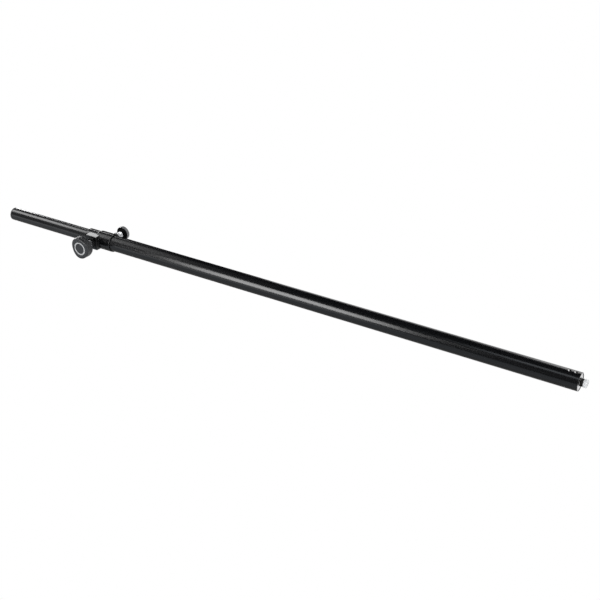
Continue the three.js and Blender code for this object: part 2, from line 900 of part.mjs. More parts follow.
function meshOf(name, solid, finish) {
  const { vertProperties, triVerts } = solid.getMesh();
  const geometry = new THREE.BufferGeometry();
  geometry.setAttribute('position', new THREE.BufferAttribute(vertProperties, 3));
  geometry.setIndex(new THREE.BufferAttribute(triVerts, 1));
  const mesh = new THREE.Mesh(geometry, new THREE.MeshStandardMaterial({ ...finish, flatShading: true }));
  mesh.name = name;
  return mesh;
}

// Assembly

const pole = new THREE.Group();

const outerGroup = new THREE.Group();
outerGroup.add(meshOf('outer_tube', makeOuterTube(), blackPaint));
outerGroup.add(meshOf('base_plug', makeBasePlug(), zincSteel));
outerGroup.add(meshOf('base_stud', makeBaseStud(), zincSteel));
outerGroup.add(meshOf('stud_ring', makeStudRing(), blackRubber));
outerGroup.add(meshOf('clamp_housing', makeClampHousing(), blackPlastic));
const guideSleeve = meshOf('guide_sleeve', makeGuideSleeve(), glidePlastic);
guideSleeve.position.z = guideLow;
outerGroup.add(guideSleeve);

const innerGroup = new THREE.Group();
innerGroup.add(meshOf('inner_tube', makeInnerTube(), blackPaint));
const topPlug = meshOf('top_plug', makeTopPlug(), blackPlastic);
topPlug.position.z = innerTop;
innerGroup.add(topPlug);
const innerFoot = meshOf('inner_foot', makeInnerFoot(), blackPlastic);
innerFoot.position.z = innerLow;
innerGroup.add(innerFoot);
const glide = meshOf('lower_glide', makeGlide(), glidePlastic);
glide.position.z = glideLow;
innerGroup.add(glide);
const snapRing = meshOf('glide_ring', makeSnapRing(), zincSteel);
snapRing.position.z = snapLow;
innerGroup.add(snapRing);

const clampGroup = new THREE.Group();
clampGroup.position.z = clampHeight;
clampGroup.rotation.x = Math.PI / 2;
clampGroup.add(meshOf('pressure_pad', makePressurePad(), brass));
clampGroup.add(meshOf('clamp_nut', makeClampNut(), zincSteel));
clampGroup.add(meshOf('clamp_screw', makeClampScrew(), zincSteel));
clampGroup.add(meshOf('clamp_knob', makeClampKnob(), charcoalPlastic));
clampGroup.add(meshOf('knob_cap', makeKnobCap(), greyPlastic));

const plungerGroup = new THREE.Group();
plungerGroup.position.z = plungerHeight;
plungerGroup.rotation.x = -Math.PI / 2;
plungerGroup.add(meshOf('index_barrel', makeBarrel(), zincSteel));
plungerGroup.add(meshOf('index_nut', makeLockNut(), zincSteel));
plungerGroup.add(meshOf('index_bush', makeBarrelBush(), brass));
plungerGroup.add(meshOf('index_pin', makeIndexPin(), zincSteel));
plungerGroup.add(meshOf('index_spring', makeSpring(), zincSteel));
plungerGroup.add(meshOf('index_knob', makePullKnob(), blackPlastic));

pole.add(outerGroup, innerGroup, clampGroup, plungerGroup);

export default pole;
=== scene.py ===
"""Looks of the telescopic speaker pole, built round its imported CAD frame. Metres, +Z up."""
import math

import bpy
from mathutils import Matrix, Vector
from mathutils.bvhtree import BVHTree


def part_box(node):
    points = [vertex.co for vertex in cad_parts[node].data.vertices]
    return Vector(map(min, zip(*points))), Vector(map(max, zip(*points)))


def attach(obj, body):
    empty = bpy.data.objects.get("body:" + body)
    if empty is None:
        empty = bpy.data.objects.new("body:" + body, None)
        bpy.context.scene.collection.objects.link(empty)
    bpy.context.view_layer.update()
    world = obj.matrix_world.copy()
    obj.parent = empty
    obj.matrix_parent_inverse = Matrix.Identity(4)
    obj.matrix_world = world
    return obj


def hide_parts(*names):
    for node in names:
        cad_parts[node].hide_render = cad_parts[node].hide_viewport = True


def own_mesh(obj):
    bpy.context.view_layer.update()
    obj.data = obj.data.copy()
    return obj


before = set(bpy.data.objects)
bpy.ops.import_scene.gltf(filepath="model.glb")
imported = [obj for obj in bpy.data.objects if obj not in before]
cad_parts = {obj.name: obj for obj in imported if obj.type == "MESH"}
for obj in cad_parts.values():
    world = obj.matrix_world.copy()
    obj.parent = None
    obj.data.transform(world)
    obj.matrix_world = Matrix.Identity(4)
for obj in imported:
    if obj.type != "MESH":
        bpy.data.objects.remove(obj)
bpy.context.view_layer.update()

MM = 0.001


# ---------------------------------------------------------------- sizes, millimetres, as in the CAD
def low_high(node):
    low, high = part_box(node)
    return Vector(low) / MM, Vector(high) / MM


outer_high = low_high("outer_tube")[1]
inner_low, inner_high = low_high("inner_tube")
housing_low, housing_high = low_high("clamp_housing")
barrel_low, barrel_high = low_high("index_barrel")
spring_low, spring_high = low_high("index_spring")
pull_low, pull_high = low_high("index_knob")
knob_low, knob_high = low_high("clamp_knob")
cap_high = low_high("knob_cap")[1]
stud_low = low_high("base_stud")[0]
plug_high = low_high("top_plug")[1]
ring_low, ring_high = low_high("stud_ring")
nut_low, nut_high = low_high("clamp_nut")
lock_low, lock_high = low_high("index_nut")

GAP = 0.3  # between pieces that touch or slide on each other
OVERRUN = 4  # how far a cutter runs past the face that it cuts

# Tubes and their dimples
TUBE_WALL = 2
TUBE_EDGE = 0.5
CRIMP_FROM_END = 12
CRIMP_PITCH = 14
CRIMP_ANGLE = -4  # degrees from +X to the first dimple
CRIMPS_PER_ROW = 3
CRIMP_DEPTH = 1.3
CRIMP_MOUTH = 3.6
CRIMP_FLOOR = 1.5
CRIMP_BAND = (6, 33)  # from a tube's end, where the dimples need a fine mesh
R_OUT = outer_high.x
R_OUT_BORE = R_OUT - TUBE_WALL
L_OUT = outer_high.z
R_IN = inner_high.x
R_IN_BORE = R_IN - TUBE_WALL
Z_IN_LOW, Z_IN_TOP = inner_low.z, inner_high.z
Z_CLAMP = (nut_low.z + nut_high.z) / 2
Z_PLUNGER = (barrel_low.z + barrel_high.z) / 2

# Index holes
HOLE_PITCH = 50
HOLE_RADIUS = 4.5
HOLES_ABOVE = 3  # over the plunger
GLIDE_LENGTH = 28
SNAP_THICKNESS = 1.5
GUIDE_LENGTH = 106
GUIDE_FLANGE = 1.6

# Plugs and stud
PLUG_CORE = 10
PLUG_RELIEF = 1.2  # depth of the plugs' waists under the dimples
TOP_PLUG_LENGTH = 44
TOP_PLUG_WEB = 6
BASE_PLUG_RECESS = 0.8
BASE_PLUG_LENGTH = 45
STUD_RADIUS = 10
STUD_PITCH = 2.5
STUD_GRIP = 31
STUD_NECK = STUD_RADIUS - 1.2 - 1.7 - GAP  # inside the ring

# Clamp housing
SKIRT = housing_high.x
SKIRT_LOW = housing_low.z
HOUSING_TOP = housing_high.z
COLLAR = 21.5
SHOULDER = L_OUT + GAP + GUIDE_FLANGE + GAP
STEP_LOW = SHOULDER + 4
STEP_HIGH = STEP_LOW + 5
GROOVE_LOW = SKIRT_LOW + 12.5
GROOVE_WIDTH = 1.4
BOSS_HALF_WIDTH = 19.5
BOSS_HALF_LENGTH = 19.3
BOSS_CORNER = 2.5
NUT_COLLAR = 13.3
NUT_REACH = -housing_low.y
PLUNGER_BOSS = 12
PLUNGER_BOSS_REACH = 31

# Clamp screw and nuts
SCREW_RADIUS = 6
SCREW_PITCH = 1.75
PAD_THICKNESS = 4.2
SCREW_TIP = 17.8 + PAD_THICKNESS + GAP
HEX_CORNER = 10.7  # of the pockets for the nut and the screw's head
CLAMP_NUT_FLATS = 18
LOCK_NUT_FLATS = 22

# Index plunger
BARREL_RADIUS = 8
BARREL_BORE = 6.3
BARREL_NOSE = 3.6
BARREL_PITCH = 1.5
BARREL_END = barrel_high.y
PIN_HOLE = 4.3
PULL_START, PULL_END = pull_low.y, pull_high.y
PULL_R = pull_high.x
SPRING_WIRE = 0.45  # radius
SPRING_CURLS = 10

# Clamp knob
KNOB_R = 29.1  # midway between its lobes and its flats
KNOB_LOBES = 3
LOBE_RISE = 1.45
LOBE_TURN = math.radians(44)
KNOB_CROWN = 3
KNOB_TAPER = 0.5
KNOB_HUB = 10.5
KNOB_RIBS = 6
GRIP_RIBS = 84
KNOB_FRONT = -knob_low.y
KNOB_BACK = KNOB_FRONT - 18.3
KNOB_HUB_END = -knob_high.y
CAP_SEAT = KNOB_FRONT - 3
CAP_R = cap_high.x
CAP_RING = (14.35, 17.7)  # inner and outer radius of the pale ring

# The clamp's frame: +Z points out along -Y. The plunger's frame: +Z points out along +Y.
FROM_CLAMP = Matrix.Translation((0, 0, Z_CLAMP * MM)) @ Matrix.Rotation(math.pi / 2, 4, "X")
FROM_PLUNGER = Matrix.Translation((0, 0, Z_PLUNGER * MM)) @ Matrix.Rotation(-math.pi / 2, 4, "X")


# ---------------------------------------------------------------- node helpers
def new_material(name):
    material = bpy.data.materials.new(name)
    material.use_nodes = True
    nodes = material.node_tree.nodes
    nodes.clear()
    out = nodes.new("ShaderNodeOutputMaterial")
    bsdf = nodes.new("ShaderNodeBsdfPrincipled")
    material.node_tree.links.new(bsdf.outputs["BSDF"], out.inputs["Surface"])
    return material, nodes, material.node_tree.links, bsdf


def noise(nodes, links, coords, scale, detail, rough=0.55, stretch=(1, 1, 1)):
    mapping = nodes.new("ShaderNodeMapping")
    mapping.inputs["Scale"].default_value = stretch
    links.new(coords, mapping.inputs["Vector"])
    texture = nodes.new("ShaderNodeTexNoise")
    texture.inputs["Scale"].default_value = scale
    texture.inputs["Detail"].default_value = detail
    texture.inputs["Roughness"].default_value = rough
    links.new(mapping.outputs["Vector"], texture.inputs["Vector"])
    return texture.outputs["Fac"]


def ramp(nodes, links, fac, low, high):
    """From the first (place, grey value) to the second."""
    node = nodes.new("ShaderNodeValToRGB")
    for element, (place, value) in zip(node.color_ramp.elements, (low, high)):
        element.position, element.color = place, (value, value, value, 1)
    links.new(fac, node.inputs["Fac"])
    return node.outputs["Color"]


def mix_colour(nodes, links, fac, a, b):
    node = nodes.new("ShaderNodeMix")
    node.data_type = "RGBA"
    for socket, value in ((node.inputs[6], a), (node.inputs[7], b)):
        if isinstance(value, tuple):
            socket.default_value = (*value, 1)
        else:
            links.new(value, socket)
    links.new(fac, node.inputs[0])
    return node.outputs[2]


def bump(nodes, links, height, strength, distance, below=None):
    node = nodes.new("ShaderNodeBump")
    node.inputs["Strength"].default_value = strength
    node.inputs["Distance"].default_value = distance
    links.new(height, node.inputs["Height"])
    if below is not None:
        links.new(below, node.inputs["Normal"])
    return node.outputs["Normal"]


def object_coords(nodes):
    return nodes.new("ShaderNodeTexCoord").outputs["Object"]


def clouded(nodes, links, coords, scale, detail, span, a, b):
    """Two colours in soft clouds. span gives the noise values at which each is pure."""
    cloud = noise(nodes, links, coords, scale, detail)
    return mix_colour(nodes, links, ramp(nodes, links, cloud, (span[0], 0.0), (span[1], 1.0)), a, b)


def edges(nodes, links, low, high):
    """How much an edge stands out, from the mesh's own convexity."""
    geometry = nodes.new("ShaderNodeNewGeometry")
    return ramp(nodes, links, geometry.outputs["Pointiness"], (low, 0.0), (high, 1.0))


def scaled(colour, factor):
    return tuple(channel * factor for channel in colour)


# ---------------------------------------------------------------- materials
def painted(name, colour, worn, rough, level):
    """Satin powder coat: fine orange peel, faint handling marks along the pole, edges rubbed paler."""
    material, nodes, links, bsdf = new_material(name)
    coords = object_coords(nodes)
    peel = noise(nodes, links, coords, 900, 3)
    marks = noise(nodes, links, coords, 160, 6, 0.7, (1, 1, 0.03))
    tone = clouded(nodes, links, coords, 22, 5, (0.35, 0.7), colour, scaled(colour, 1.35))
    tone = mix_colour(nodes, links, edges(nodes, links, 0.53, 0.62), tone, worn)
    links.new(tone, bsdf.inputs["Base Color"])
    rub = ramp(nodes, links, marks, (0.3, rough - 0.04), (0.72, rough + 0.06))
    links.new(rub, bsdf.inputs["Roughness"])
    bsdf.inputs["Specular IOR Level"].default_value = level
    links.new(bump(nodes, links, peel, 0.06, 0.0002), bsdf.inputs["Normal"])
    return material


def moulded(name, colour, worn, rough, grain, depth, level=0.35):
    """Moulded plastic with an eroded skin grain."""
    material, nodes, links, bsdf = new_material(name)
    coords = object_coords(nodes)
    skin = noise(nodes, links, coords, grain, 6, 0.65)
    cells = nodes.new("ShaderNodeTexVoronoi")
    cells.inputs["Scale"].default_value = grain * 0.8
    links.new(coords, cells.inputs["Vector"])
    tone = clouded(nodes, links, coords, 35, 4, (0.35, 0.7), colour, scaled(colour, 1.3))
    tone = mix_colour(nodes, links, edges(nodes, links, 0.52, 0.62), tone, worn)
    links.new(tone, bsdf.inputs["Base Color"])
    finish = ramp(nodes, links, skin, (0.3, rough - 0.06), (0.7, rough + 0.08))
    links.new(finish, bsdf.inputs["Roughness"])
    bsdf.inputs["Specular IOR Level"].default_value = level
    first = bump(nodes, links, cells.outputs["Distance"], depth, 0.0002)
    links.new(bump(nodes, links, skin, depth, 0.0003, first), bsdf.inputs["Normal"])
    return material


def metal(name, colour, dull, rough, metallic=1.0, relief=0.18, lay=40):
    """Turned or plated metal: fine tool lines across the axis, cloudy plating, duller in the hollows."""
    material, nodes, links, bsdf = new_material(name)
    coords = object_coords(nodes)
    lines = noise(nodes, links, coords, 60, 6, 0.7, (1, 1, lay))
    tone = clouded(nodes, links, coords, 90, 5, (0.3, 0.75), colour, dull)
    tone = mix_colour(nodes, links, edges(nodes, links, 0.42, 0.5), scaled(dull, 0.55), tone)
    links.new(tone, bsdf.inputs["Base Color"])
    bsdf.inputs["Metallic"].default_value = metallic
    finish = ramp(nodes, links, lines, (0.3, rough * 0.8), (0.7, rough * 1.3))
    links.new(finish, bsdf.inputs["Roughness"])
    links.new(bump(nodes, links, lines, relief, 0.0001), bsdf.inputs["Normal"])
    return material


HOUSING_BLACK = (0.0018, 0.0019, 0.0021)
HOUSING_WORN = (0.02, 0.02, 0.022)

# Colour, colour where it is worn, roughness, specular level
paint = painted("black_paint", (0.0026, 0.0028, 0.0034), (0.03, 0.032, 0.035), 0.2, 0.5)
inner_paint = painted("inner_black_paint", (0.008, 0.0082, 0.0086), (0.05, 0.05, 0.052), 0.2, 0.5)

# Colour, colour where it is worn, roughness, grain, depth of the grain, specular level
housing_plastic = moulded("housing_plastic", HOUSING_BLACK, HOUSING_WORN, 0.17, 700, 0.03, 0.48)
flat_plastic = moulded("housing_flat", HOUSING_BLACK, HOUSING_WORN, 0.09, 700, 0.01, 0.5)
knob_plastic = moulded("knob_plastic", (0.015, 0.0158, 0.0172), (0.1, 0.103, 0.108), 0.34, 800, 0.22, 0.5)
plug_plastic = moulded("plug_plastic", (0.012, 0.012, 0.013), (0.03, 0.03, 0.03), 0.5, 800, 0.25, 0.35)
# The pull knob's body is near black and barely glossy, as painted shade below its grey rim
pull_plastic_painted_shade = moulded("pull_plastic_painted_shade", (0.0012, 0.0012, 0.0013), (0.02, 0.02, 0.021), 0.55, 700, 0.12, 0.05)
rim_plastic = moulded("rim_plastic", (0.13, 0.132, 0.137), (0.16, 0.162, 0.165), 0.4, 700, 0.15, 0.5)
glide_plastic = moulded("glide_plastic", (0.03, 0.031, 0.033), (0.05, 0.05, 0.05), 0.4, 400, 0.08, 0.4)
pale_plastic = moulded("pale_plastic", (0.33, 0.335, 0.34), (0.4, 0.4, 0.4), 0.42, 900, 0.1, 0.4)
rubber = moulded("black_rubber", (0.007, 0.007, 0.007), (0.014, 0.014, 0.014), 0.8, 600, 0.3, 0.25)

# Colour, duller colour, roughness, metallic, relief and spacing of the tool lines
zinc = metal("bright_zinc", (0.86, 0.87, 0.88), (0.76, 0.77, 0.79), 0.34, 0.6)
# The cut steel also serves as a painted highlight on two dimples of the outer tube.
cut_steel_and_glint = metal("cut_steel_and_glint", (0.8, 0.8, 0.81), (0.7, 0.7, 0.7), 0.12, 1.0, 0.04)
turned_face = metal("turned_face", (0.84, 0.84, 0.85), (0.72, 0.72, 0.73), 0.12, 0.95, 0.04, 4)
# Zinc darkened as painted shade, for the clamp screw in the shade of the knob
zinc_painted_shade = metal("zinc_painted_shade", (0.2, 0.2, 0.21), (0.15, 0.15, 0.15), 0.45, 0.9)
stud_zinc = metal("stud_zinc", (0.93, 0.94, 0.95), (0.86, 0.87, 0.88), 0.4, 0.4)
brass = metal("turned_brass", (0.74, 0.57, 0.27), (0.6, 0.45, 0.2), 0.3)


# ---------------------------------------------------------------- mesh helpers, millimetres in, metres out
def finish_mesh(name, points, faces, materials, pick=None, sharp=32, place=None):
    """pick gives a face's material slot from its middle and its normal, both before it is placed."""
    mesh = bpy.data.meshes.new(name)
    mesh.from_pydata([tuple(Vector(p) * MM) for p in points], [], faces)
    mesh.validate()
    for material in materials:
        mesh.materials.append(material)
    if pick:
        for polygon in mesh.polygons:
            polygon.material_index = pick(polygon.center / MM, polygon.normal)
    mesh.shade_smooth()
    mesh.set_sharp_from_angle(angle=math.radians(sharp))
    obj = bpy.data.objects.new(name, mesh)
    bpy.context.scene.collection.objects.link(obj)
    if place is not None:
        mesh.transform(place)
    return obj


def rounded(corners, steps=5):
    """A profile of (radius, height) corners. A third number rounds that corner."""
    made = []
    for i, corner in enumerate(corners):
        here = Vector(corner[:2])
        if len(corner) == 2:
            made.append(tuple(here))
            continue
        before = Vector(corners[i - 1][:2]) - here
        after = Vector(corners[i + 1][:2]) - here
        angle = before.angle(after)
        reach = min(corner[2] / math.tan(angle / 2), before.length * 0.49, after.length * 0.49)
        start = here + before.normalized() * reach
        end = here + after.normalized() * reach
        for k in range(steps + 1):
            t = k / steps
            # A quadratic curve through the corner is close enough to a round edge.
            made.append(tuple(start * (1 - t) ** 2 + here * 2 * t * (1 - t) + end * t**2))
    return made


def circle(sides, radius, height):
    """radius is one number, or one for each side."""
    radii = radius if isinstance(radius, list) else [radius] * sides
    angles = [2 * math.pi * k / sides for k in range(sides)]
    return [(r * math.cos(angle), r * math.sin(angle), height) for r, angle in zip(radii, angles)]


def lathe(name, profile, materials, sides=128, closed=False, shift=None, pick=None, sharp=32, place=None):
    """Revolves (radius, height) pairs, up the outside and down the inside. shift moves each point."""
    points, rings, faces = [], [], []
    for radius, height in profile:
        if radius < 1e-6:
            rings.append([len(points)] * sides)
            points.append(Vector((0, 0, height)))
            continue
        rings.append(list(range(len(points), len(points) + sides)))
        ring = [Vector(point) for point in circle(sides, radius, height)]
        points += [shift(point) for point in ring] if shift else ring
    pairs = list(zip(rings, rings[1:]))
    if closed:
        pairs.append((rings[-1], rings[0]))
    for a, b in pairs:
        for k in range(sides):
            j = (k + 1) % sides
            face = []
            for corner in (a[k], a[j], b[j], b[k]):
                if corner not in face:
                    face.append(corner)
            if len(face) > 2:
                faces.append(face)
    return finish_mesh(name, points, faces, materials, pick, sharp, place)


def rod(name, radius, low, high, material, sides, place=None):
    """A plain round or hexagonal cutter."""
    return lathe(name, [(0, low), (radius, low), (radius, high), (0, high)], [material], sides, place=place)


def sweep(name, sections, materials, place=None, sharp=32):
    """Joins closed sections of equal counts, and closes both ends."""
    count = len(sections[0])
    points = [p for section in sections for p in section]
    faces = []
    for row in range(len(sections) - 1):
        for i in range(count):
            j = (i + 1) % count
            a, b = row * count, (row + 1) * count
            faces.append([a + i, a + j, b + j, b + i])
    faces.append(list(range(count))[::-1])
    last = (len(sections) - 1) * count
    faces.append([last + i for i in range(count)])
    return finish_mesh(name, points, faces, materials, None, sharp, place)


def baked(obj):
    """The object with its modifiers applied."""
    graph = bpy.context.evaluated_depsgraph_get()
    mesh = bpy.data.meshes.new_from_object(obj.evaluated_get(graph))
    obj.modifiers.clear()
    old = obj.data
    obj.data = mesh
    bpy.data.meshes.remove(old)
    return obj


def carve(obj, cutters, operation="DIFFERENCE", sharp=32):
    for cutter in cutters:
        modifier = obj.modifiers.new("cut", "BOOLEAN")
        modifier.operation = operation
        modifier.solver = "EXACT"
        modifier.object = cutter
    baked(obj)
    for cutter in cutters:
        bpy.data.objects.remove(cutter)
    obj.data.shade_smooth()
    obj.data.set_sharp_from_angle(angle=math.radians(sharp))


def remeshed(obj, voxel, smooth_steps):
    remesh = obj.modifiers.new("remesh", "REMESH")
    remesh.mode = "VOXEL"
    remesh.voxel_size = voxel * MM
    smooth = obj.modifiers.new("smooth", "SMOOTH")
    smooth.iterations = smooth_steps
    smooth.factor = 0.5
    return baked(obj)


def snapped(obj, exact, near=0.06, far=0.22):
    """Draws a remeshed skin back on to the exact form, and leaves its round edges and fillets."""
    tree = BVHTree.FromPolygons([v.co for v in exact.vertices], [p.vertices for p in exact.polygons])
    for vertex in obj.data.vertices:
        place, _, _, distance = tree.find_nearest(vertex.co)
        share = min(1, max(0, (far - distance / MM) / (far - near)))
        vertex.co = vertex.co.lerp(place, share)


def add(obj, body, node):
    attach(obj, body)
    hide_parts(node)
    return obj


def off_axis(point):
    return math.hypot(point.x, point.y)


# ---------------------------------------------------------------- tubes with punched dimples
def from_dimple(point, radius, heights):
    """How far a point on the tube lies from the nearest dimple, round the tube and up it."""
    spacing = 2 * math.pi / CRIMPS_PER_ROW
    angle = math.atan2(point.y, point.x) - math.radians(CRIMP_ANGLE)
    along = (angle + spacing / 2) % spacing - spacing / 2
    height = min(heights, key=lambda h: abs(point.z - h))
    return along * radius, point.z - height


def dimpled(radius, heights):
    def shift(point):
        flat = off_axis(point)
        if abs(flat - radius) > 0.3:
            return point
        distance = math.hypot(*from_dimple(point, radius, heights))
        if distance >= CRIMP_MOUTH:
            return point
        share = min(1, (CRIMP_MOUTH - distance) / (CRIMP_MOUTH - CRIMP_FLOOR))
        share = share * share * (3 - 2 * share)
        scale = (flat - CRIMP_DEPTH * share) / flat
        return Vector((point.x * scale, point.y * scale, point.z))

    return shift


def spread(start, end, step):
    count = max(1, round(abs(end - start) / step))
    return [start + (end - start) * k / count for k in range(count + 1)]


def tube(name, radius, bore, low, high, crimp_low, crimp_high, heights, materials, pick):
    """A tube whose mesh is fine from crimp_low to crimp_high, and coarse elsewhere."""
    fine, coarse, lead = 0.45, 60, 20
    first, last = low + TUBE_EDGE * 1.2, high - TUBE_EDGE * 1.2
    rows = spread(crimp_low, crimp_high, fine)
    if crimp_low < (low + high) / 2:
        rows = [first] + rows + spread(crimp_high + lead, last, coarse)
    else:
        rows = spread(first, crimp_low - lead, coarse) + rows + [last]
    edge, slope, lip = TUBE_EDGE, TUBE_EDGE * 0.3, 0.2
    profile = [(radius - edge, low), (radius - slope, low + slope), (radius, low + edge)]
    profile += [(radius, height) for height in rows]
    profile += [(radius, high - edge), (radius - slope, high - slope), (radius - edge, high)]
    profile += [(bore + lip, high), (bore, high - lip), (bore, low + lip), (bore + lip, low)]
    return lathe(name, profile, materials, 160, True, dimpled(radius, heights), pick, 38)


outer_crimps = [CRIMP_FROM_END, CRIMP_FROM_END + CRIMP_PITCH]
inner_crimps = [Z_IN_TOP - CRIMP_FROM_END, Z_IN_TOP - CRIMP_FROM_END - CRIMP_PITCH]


def outer_slot(middle, normal):
    """Bare steel on the cut end, and a painted highlight of bright steel on the two dimples on the +X side, where
    the light catches them.
    """
    along, up = from_dimple(middle, R_OUT, outer_crimps)
    painted_glint = middle.x > 0 and 1.2 < up < 3.3 and abs(along) < 2.2 and off_axis(middle) > R_OUT_BORE + 0.5
    return 1 if middle.z < 0.05 or painted_glint else 0


outer_tube = tube(
    "outer_pole_tube", R_OUT, R_OUT_BORE, 0, L_OUT, CRIMP_BAND[0], CRIMP_BAND[1],
    outer_crimps, [paint, cut_steel_and_glint], outer_slot,
)
barrel_hole = rod("barrel_hole", BARREL_RADIUS + GAP, R_IN, R_OUT + 8, paint, 48, FROM_PLUNGER)
carve(outer_tube, [barrel_hole], sharp=38)
add(outer_tube, "outer", "outer_tube")

inner_tube = tube(
    "inner_pole_tube", R_IN, R_IN_BORE, Z_IN_LOW, Z_IN_TOP, Z_IN_TOP - CRIMP_BAND[1], Z_IN_TOP - CRIMP_BAND[0],
    inner_crimps, [inner_paint, cut_steel_and_glint], lambda middle, normal: 1 if middle.z > Z_IN_TOP - 0.05 else 0,
)
# The holes run from the snap ring up to the guide sleeve, and on over the plunger, with countersunk mouths.
snap_top = Z_IN_LOW + GAP + GLIDE_LENGTH + GAP + SNAP_THICKNESS
guide_low = L_OUT + GAP - GUIDE_LENGTH
holes_below = math.floor((guide_low - snap_top) / HOLE_PITCH)
hole_profile = [
    (0, R_IN - 6), (HOLE_RADIUS, R_IN - 6), (HOLE_RADIUS, R_IN - 0.35),
    (HOLE_RADIUS + 0.5, R_IN + 0.3), (HOLE_RADIUS + 0.5, R_IN + OVERRUN), (0, R_IN + OVERRUN),
]
holes = [
    lathe(
        f"hole_{k}", hole_profile, [paint], 32,
        place=Matrix.Translation((0, 0, (k + 0.5) * HOLE_PITCH * MM)) @ FROM_PLUNGER,
    )
    for k in range(-holes_below, HOLES_ABOVE)
]
carve(inner_tube, holes, sharp=38)
add(inner_tube, "inner", "inner_tube")

# ---------------------------------------------------------------- plugs
plug_top = plug_high.z
plug_bore = R_IN_BORE - GAP
waist = plug_bore - PLUG_RELIEF
top_plug = lathe(
    "top_end_plug",
    rounded([
        (0, Z_IN_TOP - TOP_PLUG_WEB), (PLUG_CORE, Z_IN_TOP - TOP_PLUG_WEB, 1),
        (PLUG_CORE, Z_IN_TOP - TOP_PLUG_LENGTH), (plug_bore - 1, Z_IN_TOP - TOP_PLUG_LENGTH),
        (plug_bore, Z_IN_TOP - TOP_PLUG_LENGTH + 1), (waist, Z_IN_TOP - 28.5), (waist, Z_IN_TOP - 9.5),
        (plug_bore, Z_IN_TOP - 7.5), (plug_bore, Z_IN_TOP + GAP), (R_IN, Z_IN_TOP + GAP, 0.25),
        (R_IN, plug_top, 0.7), (3.2, plug_top, 0.3), (2.4, plug_top - 0.8, 0.3), (0, plug_top - 0.8),
    ]),
    [plug_plastic], 128,
)
add(top_plug, "inner", "top_plug")

plug_r = R_OUT_BORE - GAP
stud_way = STUD_RADIUS + GAP
base_plug = lathe(
    "base_end_plug",
    rounded([
        (0, STUD_GRIP + GAP), (stud_way, STUD_GRIP + GAP), (stud_way, BASE_PLUG_RECESS, 0.4),
        (plug_r, BASE_PLUG_RECESS, 1), (plug_r, 8), (plug_r - 1.3, 10), (plug_r - 1.3, 29), (plug_r, 31),
        (plug_r, BASE_PLUG_RECESS + BASE_PLUG_LENGTH, 1), (0, BASE_PLUG_RECESS + BASE_PLUG_LENGTH),
    ]),
    [turned_face], 128,
)
add(base_plug, "outer", "base_plug")


# ---------------------------------------------------------------- base stud and threads
def threaded(name, radius, low, high, pitch, depth, material, chamfer, below, above, sides, place=None):
    """A rod with a real helical thread from low to high, rolled off at its ends.

    below and above continue it with plain (radius, height) rings, each list outwards from the thread.
    """
    steps_per_turn = 8
    count = max(2, round((high - low) / (pitch / steps_per_turn)))
    sections = []
    for i in range(count + 1):
        height = low + (high - low) * i / count
        end = min(1, (height - low) / chamfer, (high - height) / chamfer)
        rolled = radius - depth * 1.15 * (1 - max(0, end))
        reaches = []
        for k in range(sides):
            phase = (height / pitch - k / sides) % 1
            tooth = 1 - abs(2 * phase - 1)
            tooth = min(1, max(0, (tooth - 0.12) / 0.76))
            reaches.append(min(radius - depth * (1 - tooth), rolled))
        sections.append(circle(sides, reaches, height))
    for ring in below:
        sections.insert(0, circle(sides, *ring))
    for ring in above:
        sections.append(circle(sides, *ring))
    return sweep(name, sections, [material], place, 42)


stud_end = stud_low.z
ring_end = ring_low.z
base_stud = threaded(
    "threaded_base_stud", STUD_RADIUS, stud_end + 0.25, ring_end - GAP, STUD_PITCH, 1.25, stud_zinc, 1.2,
    [(8.3, stud_end + 0.12), (7.9, stud_end), (2.6, stud_end), (1.6, stud_end + 1.1)],
    [(STUD_NECK, ring_end - 0.28), (STUD_NECK, 0.8), (STUD_RADIUS, 2.4), (STUD_RADIUS, 29.4), (8.4, STUD_GRIP)],
    96,
)
add(base_stud, "outer", "base_stud")
stud_ring = lathe(
    "stud_neck_ring",
    rounded([(8.8, ring_low.z), (8.8, ring_high.z, 0.7), (7.1, ring_high.z), (7.1, ring_low.z), (8.8, ring_low.z)]),
    [rubber], 96,
)
add(stud_ring, "outer", "stud_ring")


# ---------------------------------------------------------------- clamp housing
def boss_section(offset, height):
    """A rounded rectangle, offset outwards, with points along its sides too."""
    corner_steps, side_steps = 8, 10
    radius = max(0.05, BOSS_CORNER + offset)
    arcs = []
    for index, (side_x, side_y) in enumerate(((1, 1), (-1, 1), (-1, -1), (1, -1))):
        arc = []
        for k in range(corner_steps + 1):
            angle = (index + k / corner_steps) * math.pi / 2
            x = side_x * (BOSS_HALF_WIDTH - BOSS_CORNER) + radius * math.cos(angle)
            y = side_y * (BOSS_HALF_LENGTH - BOSS_CORNER) + radius * math.sin(angle)
            arc.append(Vector((x, y)))
        arcs.append(arc)
    outline = []
    for arc, following in zip(arcs, arcs[1:] + arcs[:1]):
        outline += arc
        outline += [arc[-1].lerp(following[0], k / side_steps) for k in range(1, side_steps)]
    return [(p.x, p.y, height) for p in outline]


housing = lathe(
    "moulded_clamp_housing",
    rounded([
        (0, SKIRT_LOW), (SKIRT, SKIRT_LOW, 1), (SKIRT, STEP_LOW, 3), (COLLAR, STEP_HIGH, 3),
        (COLLAR, HOUSING_TOP, 1.6), (0, HOUSING_TOP),
    ]),
    [housing_plastic], 720,
)
